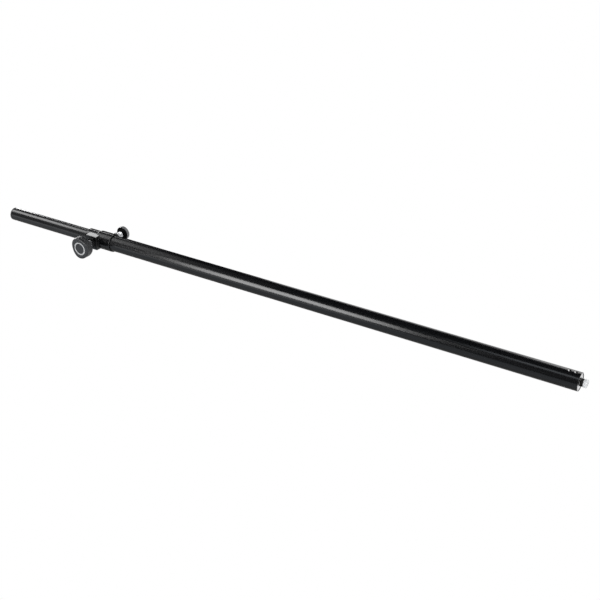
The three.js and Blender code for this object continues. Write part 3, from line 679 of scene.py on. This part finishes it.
# Drafted sides, then a round edge
boss_rows = [(0.0, 2), (0.0, 12), (-0.4, 20), (-0.8, 27), (-0.95, 29.0), (-1.1, 29.5), (-1.5, 29.85), (-2.0, 30)]
boss = sweep("boss", [boss_section(offset, height) for offset, height in boss_rows], [housing_plastic], FROM_CLAMP)
nut_collar = lathe(
    "nut_collar", rounded([(0, 20), (NUT_COLLAR, 20), (NUT_COLLAR, NUT_REACH, 1.1), (0, NUT_REACH)]),
    [housing_plastic], 96, place=FROM_CLAMP,
)
plunger_boss = lathe(
    "plunger_boss",
    rounded([(0, 2), (PLUNGER_BOSS, 2), (PLUNGER_BOSS, PLUNGER_BOSS_REACH, 1.1), (0, PLUNGER_BOSS_REACH)]),
    [housing_plastic], 96, place=FROM_PLUNGER,
)
carve(housing, [boss, nut_collar, plunger_boss], "UNION")
# The voxels round the edges and the roots of the bosses, and the walls go back to where they were.
exact_housing = housing.data.copy()
snapped(remeshed(housing, 0.4, 4), exact_housing)
bpy.data.meshes.remove(exact_housing)

hex_pocket = rod("hex_pocket", HEX_CORNER, 26, 50, housing_plastic, 6, FROM_CLAMP)
screw_hole = rod("screw_hole", SCREW_RADIUS + GAP, 1, 40, housing_plastic, 48, FROM_CLAMP)
pocket = rod("barrel_pocket", BARREL_RADIUS + GAP, 1, 44, housing_plastic, 64, FROM_PLUNGER)
skirt_bore, collar_bore = R_OUT + GAP, R_IN + GAP
main_bore = lathe(
    "main_bore",
    [
        (0, SKIRT_LOW - OVERRUN), (R_OUT + 0.9, SKIRT_LOW - OVERRUN), (R_OUT + 0.9, SKIRT_LOW),
        (skirt_bore, SKIRT_LOW + 0.8), (skirt_bore, L_OUT + 2.2), (collar_bore, L_OUT + 2.2),
        (collar_bore, HOUSING_TOP - 1), (R_IN + 1.1, HOUSING_TOP), (R_IN + 1.1, HOUSING_TOP + OVERRUN),
        (0, HOUSING_TOP + OVERRUN),
    ],
    [housing_plastic], 128,
)
groove_high, groove_floor = GROOVE_LOW + GROOVE_WIDTH, SKIRT - 0.45
groove = lathe(
    "skirt_groove",
    rounded([
        (SKIRT + 2, GROOVE_LOW), (SKIRT + 2, groove_high), (groove_floor, groove_high, 0.3),
        (groove_floor, GROOVE_LOW, 0.3), (SKIRT + 2, GROOVE_LOW),
    ]),
    [housing_plastic], 160, True,
)
carve(housing, [main_bore, screw_hole, pocket, groove, hex_pocket], "DIFFERENCE", 34)

# The two flats beside the screw come smoother from the mould, and the step under the collar is matt.
flat_slot = len(housing.data.materials)
housing.data.materials.append(flat_plastic)
housing.data.materials.append(plug_plastic)
for polygon in housing.data.polygons:
    middle, normal = polygon.center / MM, polygon.normal
    on_step = STEP_LOW - 2 < middle.z < STEP_HIGH + 2 and off_axis(middle) > COLLAR - 0.5
    if abs(normal.x) > 0.985 and abs(middle.x) > 18.4 and middle.y < -9:
        polygon.material_index = flat_slot
    elif 0.12 < normal.z < 0.9 and on_step:
        polygon.material_index = flat_slot + 1
add(housing, "outer", "clamp_housing")


# ---------------------------------------------------------------- nuts
def hex_nut(name, flats, low, high, hole, place):
    """A hexagon nut with its corners turned off on both faces and a countersunk hole."""
    corner = flats / math.sqrt(3)
    turned, full = corner - 1.3, corner + 0.02
    profile = [(0, low), (turned, low), (full, low + 0.75), (full, high - 0.75), (turned, high), (0, high)]
    body = lathe(f"{name}_turned", rounded(profile), [zinc], 96, place=place)
    prism = rod(f"{name}_hex", corner, low - 1, high + 1, zinc, 6, place)
    mouth = hole + 1.6
    profile = [
        (0, low - 1), (mouth, low - 1), (hole, low + 0.6), (hole, high - 0.6), (mouth, high + 1), (0, high + 1),
    ]
    bore = lathe(f"{name}_bore", profile, [zinc], 64, place=place)
    carve(body, [prism], "INTERSECT")
    carve(body, [bore], "DIFFERENCE", 20)
    body.name = name
    return body


clamp_nut = hex_nut("trapped_clamp_nut", CLAMP_NUT_FLATS, -nut_high.y, -nut_low.y, SCREW_RADIUS + 0.15, FROM_CLAMP)
add(clamp_nut, "outer", "clamp_nut")
lock_nut = hex_nut("plunger_lock_nut", LOCK_NUT_FLATS, lock_low.y, lock_high.y, BARREL_RADIUS + 0.15, FROM_PLUNGER)
add(lock_nut, "outer", "index_nut")

# ---------------------------------------------------------------- index plunger
barrel_start = barrel_low.y
barrel = threaded(
    "plunger_barrel", BARREL_RADIUS, barrel_start + 0.4, BARREL_END - 0.4, BARREL_PITCH, 0.75, zinc, 0.9,
    [(7.3, barrel_start), (PIN_HOLE, barrel_start)], [(7.1, BARREL_END), (BARREL_BORE, BARREL_END)],
    64, FROM_PLUNGER,
)
nose_end = barrel_start + BARREL_NOSE
bore = lathe(
    "barrel_bore",
    [
        (0, barrel_start - 2), (PIN_HOLE, barrel_start - 2), (PIN_HOLE, nose_end), (BARREL_BORE, nose_end),
        (BARREL_BORE, BARREL_END + 2), (0, BARREL_END + 2),
    ],
    [zinc], 64, place=FROM_PLUNGER,
)
carve(barrel, [bore], "DIFFERENCE", 42)
add(barrel, "outer", "index_barrel")

# The spring between the pin's collar and the barrel's bush; in the real plunger it shortens as the knob is pulled,
# here it is drawn at rest
CURL_STEPS, WIRE_SIDES = 24, 10
spring_steps = SPRING_CURLS * CURL_STEPS
spring_rise = spring_high.y - spring_low.y - 2 * SPRING_WIRE
spring_sections = []
for step in range(spring_steps + 1):
    turn = 2 * math.pi * step / CURL_STEPS
    height = spring_low.y + SPRING_WIRE + spring_rise * step / spring_steps
    section = []
    for k in range(WIRE_SIDES):
        angle = -2 * math.pi * k / WIRE_SIDES
        reach = spring_high.x - SPRING_WIRE + SPRING_WIRE * math.cos(angle)
        section.append((reach * math.cos(turn), reach * math.sin(turn), height + SPRING_WIRE * math.sin(angle)))
    spring_sections.append(section)
spring = sweep("plunger_spring", spring_sections, [zinc], FROM_PLUNGER, 60)
add(spring, "outer", "index_spring")
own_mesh(spring)

# Apart from its grey rim the pull knob is painted near black, as painted shade.
pull_knob = lathe(
    "plunger_pull_knob",
    rounded(
        [
            (0, PULL_START + 8.8), (3.1, PULL_START + 8.8), (3.1, PULL_START), (8, PULL_START, 0.5),
            (8, PULL_START + 1.3, 2.5), (PULL_R, PULL_START + 5.2, 0.7), (PULL_R, PULL_END - 1.6, 2.2),
            (9, PULL_END, 14), (0, PULL_END),
        ],
        8,
    ),
    [pull_plastic_painted_shade, rim_plastic], 128,
    pick=lambda middle, normal: 1 if middle.z > PULL_START + 4.5 and off_axis(middle) > PULL_R - 1.2 else 0,
    place=FROM_PLUNGER,
)
add(pull_knob, "plunger", "index_knob")


# ---------------------------------------------------------------- clamp knob
def knob_section(height, radius, ribbed):
    """A little three-sided, with fine grip ribs on the side. ribbed is 0 for smooth and 1 for full ribs."""
    count = GRIP_RIBS * 6
    section = []
    for k in range(count):
        angle = 2 * math.pi * k / count
        wave = (1 - math.cos(GRIP_RIBS * angle)) / 2
        reach = radius + LOBE_RISE * math.cos(KNOB_LOBES * (angle - LOBE_TURN)) - 0.32 * ribbed * wave**2
        section.append((reach * math.cos(angle), reach * math.sin(angle), height))
    return section


knob_rows = [
    (KNOB_BACK, KNOB_R - 1.4, 0.0), (KNOB_BACK + 0.25, KNOB_R - 0.7, 0.0),
    (KNOB_BACK + 0.8, KNOB_R - 0.2, 0.0), (KNOB_BACK + 1.5, KNOB_R, 0.2),
]
knob_rows += [(KNOB_BACK + 2 + k * 2.2, KNOB_R - 0.1 * k, 1) for k in range(5)]
knob_rows += [(KNOB_BACK + 12.6, KNOB_R - 0.45, 1), (KNOB_BACK + 14.4, KNOB_R - 0.5, 0.7)]
CROWN_STEPS = 12
for k in range(1, CROWN_STEPS + 1):
    angle = k / CROWN_STEPS * math.pi / 2
    height = KNOB_FRONT - KNOB_CROWN * (1 - math.sin(angle))
    radius = KNOB_R - KNOB_TAPER - KNOB_CROWN * (1 - math.cos(angle))
    knob_rows.append((height, radius, 0.6 * max(0, 1 - k / 5)))
clamp_knob = sweep("ribbed_clamp_knob", [knob_section(*row) for row in knob_rows], [knob_plastic], FROM_CLAMP, 40)

# A hollow back with a hub and six ribs
hollow_low, hollow_floor = KNOB_BACK - OVERRUN, KNOB_BACK + 9
hollow = lathe(
    "knob_hollow",
    rounded([
        (KNOB_HUB, hollow_low), (24.4, hollow_low), (23.8, hollow_floor, 2), (10.8, hollow_floor, 2),
        (KNOB_HUB, hollow_low),
    ]),
    [knob_plastic], 128, True, place=FROM_CLAMP,
)
ribs = []
rib_plan = [(9.5, -1.1), (25.5, -1.1), (25.5, 1.1), (9.5, 1.1)]
for k in range(KNOB_RIBS):
    sections = [[(x, y, z) for x, y in rib_plan] for z in (KNOB_BACK + 1.2, KNOB_BACK + 10)]
    turn = Matrix.Rotation(k * math.pi / 3, 4, "Z")
    ribs.append(sweep(f"rib_{k}", sections, [knob_plastic], FROM_CLAMP @ turn))
carve(hollow, ribs, "DIFFERENCE")
carve(clamp_knob, [hollow], "DIFFERENCE", 40)
hub = lathe(
    "knob_hub",
    rounded([
        (0, KNOB_HUB_END), (9.3, KNOB_HUB_END, 0.9), (KNOB_HUB, KNOB_BACK), (10.6, KNOB_BACK + 10),
        (0, KNOB_BACK + 10),
    ]),
    [knob_plastic], 96, place=FROM_CLAMP,
)
carve(clamp_knob, [hub], "UNION", 40)
recess, mouth = CAP_R + 0.3, CAP_R + 0.7
cap_recess = lathe(
    "cap_recess",
    [
        (0, CAP_SEAT), (recess, CAP_SEAT), (recess, KNOB_FRONT - 0.3), (mouth, KNOB_FRONT + 0.1),
        (mouth, KNOB_FRONT + 3), (0, KNOB_FRONT + 3),
    ],
    [knob_plastic], 128, place=FROM_CLAMP,
)
head_pocket = rod("head_pocket", HEX_CORNER, CAP_SEAT - 7.6, CAP_SEAT + 1, knob_plastic, 6, FROM_CLAMP)
screw_way = rod("screw_way", SCREW_RADIUS + GAP, KNOB_HUB_END - 2, CAP_SEAT, knob_plastic, 48, FROM_CLAMP)
carve(clamp_knob, [cap_recess, head_pocket, screw_way], "DIFFERENCE", 40)
add(clamp_knob, "clamp_handle", "clamp_knob")

# The cap: a plain pale ring round a dark dished middle
cap = lathe(
    "knob_end_cap",
    rounded(
        [
            (0, CAP_SEAT + GAP), (CAP_R, CAP_SEAT + GAP), (CAP_R, KNOB_FRONT - 0.1, 0.6), (17.7, KNOB_FRONT + 0.15),
            (14.4, KNOB_FRONT + 0.3, 0.25), (13.9, KNOB_FRONT - 0.35, 0.3), (0, KNOB_FRONT - 0.55),
        ],
        6,
    ),
    [knob_plastic, pale_plastic], 160,
    pick=lambda middle, normal: 1 if CAP_RING[0] < off_axis(middle) < CAP_RING[1] and normal.z > 0.3 else 0,
    place=FROM_CLAMP,
)
add(cap, "clamp_handle", "knob_cap")

# ---------------------------------------------------------------- clamp screw
# The screw's zinc is darkened as painted shade, for the knob's shade over it.
head_low = CAP_SEAT - 7.3
screw = threaded(
    "clamp_screw_thread", SCREW_RADIUS, SCREW_TIP + 3.2, CAP_SEAT - 7.5, SCREW_PITCH, 0.95, zinc_painted_shade, 0.9,
    [(4.2, SCREW_TIP + 3), (4.2, SCREW_TIP + 0.4), (3.8, SCREW_TIP)],
    [(5.2, head_low), (9, head_low), (9, CAP_SEAT - GAP)],
    48, FROM_CLAMP,
)
add(screw, "clamp_handle", "clamp_screw")

# ---------------------------------------------------------------- CAD nodes that stay get the same finishes
for node, material in {
    "pressure_pad": brass, "guide_sleeve": glide_plastic, "inner_foot": plug_plastic, "lower_glide": glide_plastic,
    "glide_ring": zinc, "index_bush": brass, "index_pin": zinc,
}.items():
    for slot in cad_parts[node].material_slots:
        slot.material = material


# ---------------------------------------------------------------- stage
FLOOR_SIZE = 12
FLOOR_DROP = 14 * MM  # below the stud
FADE = (0.8, 3.4)  # distances from the pole's foot between which the floor turns into the background


def background_rays(nodes, links):
    """1 for what the camera, a reflection or a glass sees, 0 for light."""
    path = nodes.new("ShaderNodeLightPath")
    seen = path.outputs["Is Camera Ray"]
    for other in ("Is Glossy Ray", "Is Transmission Ray"):
        most = nodes.new("ShaderNodeMath")
        most.operation = "MAXIMUM"
        links.new(seen, most.inputs[0])
        links.new(path.outputs[other], most.inputs[1])
        seen = most.outputs[0]
    return seen


def mix_shader(nodes, links, fac, first, second):
    mix = nodes.new("ShaderNodeMixShader")
    for socket, source in zip(mix.inputs, (fac, first, second)):
        links.new(source, socket)
    return mix.outputs[0]


def stage_material(name, colour):
    """Pale matt floor, clear from behind. Far from the pole it is the plain background, so no edge shows."""
    material, nodes, links, bsdf = new_material(name)
    out = next(n for n in nodes if n.type == "OUTPUT_MATERIAL")
    bsdf.inputs["Base Color"].default_value = (*colour, 1)
    bsdf.inputs["Roughness"].default_value = 0.9
    bsdf.inputs["Specular IOR Level"].default_value = 0.1
    away = nodes.new("ShaderNodeVectorMath")
    away.operation = "LENGTH"
    links.new(object_coords(nodes), away.inputs[0])
    fade = nodes.new("ShaderNodeMapRange")
    fade.interpolation_type = "SMOOTHSTEP"
    fade.inputs["From Min"].default_value, fade.inputs["From Max"].default_value = FADE
    links.new(away.outputs["Value"], fade.inputs["Value"])
    share = nodes.new("ShaderNodeMath")
    share.operation = "MULTIPLY"
    links.new(background_rays(nodes, links), share.inputs[0])
    links.new(fade.outputs["Result"], share.inputs[1])
    white = nodes.new("ShaderNodeEmission").outputs[0]
    behind = nodes.new("ShaderNodeNewGeometry").outputs["Backfacing"]
    clear = nodes.new("ShaderNodeBsdfTransparent").outputs[0]
    faded = mix_shader(nodes, links, share.outputs[0], bsdf.outputs["BSDF"], white)
    links.new(mix_shader(nodes, links, behind, faded, clear), out.inputs["Surface"])
    return material


half = FLOOR_SIZE / 2
floor_mesh = bpy.data.meshes.new("floor")
floor_mesh.from_pydata([(-half, -half, 0), (half, -half, 0), (half, half, 0), (-half, half, 0)], [], [[0, 1, 2, 3]])
floor_mesh.materials.append(stage_material("floor", (0.93, 0.93, 0.93)))
floor = bpy.data.objects.new("floor", floor_mesh)
floor.matrix_world = Matrix.Translation((0, 0, stud_end * MM - FLOOR_DROP))
floor.visible_shadow = False
bpy.context.scene.collection.objects.link(floor)

# Soft light from all round, and plain white for what the camera or a reflection sees
world = bpy.data.worlds.new("studio")
bpy.context.scene.world = world
world.use_nodes = True
nodes, links = world.node_tree.nodes, world.node_tree.links
nodes.clear()
skies = []
for strength in (0.55, 1):
    sky = nodes.new("ShaderNodeBackground")
    sky.inputs["Color"].default_value = (1, 1, 1, 1)
    sky.inputs["Strength"].default_value = strength
    skies.append(sky.outputs[0])
world_out = nodes.new("ShaderNodeOutputWorld")
links.new(mix_shader(nodes, links, background_rays(nodes, links), *skies), world_out.inputs["Surface"])


def polar(azimuth, distance, height):
    return (distance * math.cos(math.radians(azimuth)), distance * math.sin(math.radians(azimuth)), height)


def softbox(name, place, aim, width, height, power):
    data = bpy.data.lights.new(name, "AREA")
    data.shape = "RECTANGLE"
    data.size = width
    data.size_y = height
    data.energy = power
    obj = bpy.data.objects.new(name, data)
    obj.location = place
    obj.rotation_euler = (Vector(aim) - Vector(place)).to_track_quat("-Z", "Y").to_euler()
    obj.visible_camera = False
    bpy.context.scene.collection.objects.link(obj)


softbox("high softbox", polar(-11, 1.5, 3.1), (0, 0, 1.5), 1.0, 0.8, 14)
softbox("front softbox", polar(-64, 2.0, 1.79), (0, 0, 0.76), 1.4, 0.95, 36)
softbox("side softbox", polar(51.5, 1.5, 2.56), (0.02, -0.02, 1.33), 0.2, 0.22, 0.75)
softbox("rim softbox", polar(84, 1.5, 3.5), (0.03, -0.065, 1.345), 0.8, 0.8, 18)


def card(name, azimuths, heights, shade, distance=3.2, cool=0.0):
    """A curved card that only reflections see, as photographers set them round black objects."""
    material = bpy.data.materials.new(name)
    material.use_nodes = True
    nodes, links = material.node_tree.nodes, material.node_tree.links
    nodes.clear()
    glow = nodes.new("ShaderNodeEmission")
    glow.inputs["Color"].default_value = (shade, shade * (1 + cool), shade * (1 + 2 * cool), 1)
    links.new(glow.outputs[0], nodes.new("ShaderNodeOutputMaterial").inputs["Surface"])
    steps = 24
    points = []
    for k in range(steps + 1):
        azimuth = azimuths[0] + (azimuths[1] - azimuths[0]) * k / steps
        points += [polar(azimuth, distance, heights[0]), polar(azimuth, distance, heights[1])]
    mesh = bpy.data.meshes.new(name)
    mesh.from_pydata(points, [], [[2 * k, 2 * k + 2, 2 * k + 3, 2 * k + 1] for k in range(steps)])
    mesh.materials.append(material)
    obj = bpy.data.objects.new(name, mesh)
    obj.visible_camera = obj.visible_diffuse = obj.visible_shadow = obj.visible_transmission = False
    bpy.context.scene.collection.objects.link(obj)


# Degrees round the pole, metres up, grey level, and for some their distance and how cool they are
card("card_right", (-38, 66), (1.15, 7), 0.01)
card("card_low_right", (-38, 57), (0.85, 1.15), 0.01)
card("card_foot_right", (-38, 47), (-2, 0.85), 0.01)
card("card_foot_rim", (47, 74), (0.45, 0.95), 2.8)
card("card_strip", (-36, -20), (0.3, 1.15), 1.6, 3.1, 0.07)
card("card_strip_left", (-88, -112), (1.75, 7), 0.9, 3.1, 0.03)
card("card_middle", (-40, 22), (3.25, 4.3), 1.0, 3.1)
card("card_high", (66, 150), (2.6, 4.75), 0.03)
card("card_front", (-38, -97), (-2, 7), 0.01)
card("card_left", (-97, -150), (-2, 7), 0.44, 3.2, 0.07)
card("card_back_left", (-150, -210), (-2, 7), 0.28)

# ---------------------------------------------------------------- camera, as the photograph's perspective gives it
CAMERA_RIGHT = (0, 0.52695, -0.84989)
CAMERA_UP = (0.87632, 0.40942, 0.25385)
CAMERA_BACK = (0.48173, -0.74478, -0.46178)
CAMERA_PLACE = (1.21699, -1.88809, -0.47494)

camera_data = bpy.data.cameras.new("camera")
camera_data.sensor_width = 36
camera_data.lens = 63
camera = bpy.data.objects.new("camera", camera_data)
bpy.context.scene.collection.objects.link(camera)
turn = Matrix((CAMERA_RIGHT, CAMERA_UP, CAMERA_BACK)).transposed().to_4x4()
camera.matrix_world = Matrix.Translation(CAMERA_PLACE) @ turn
bpy.context.scene.camera = camera
bpy.context.scene.view_settings.view_transform = "Standard"

bpy.context.view_layer.update()
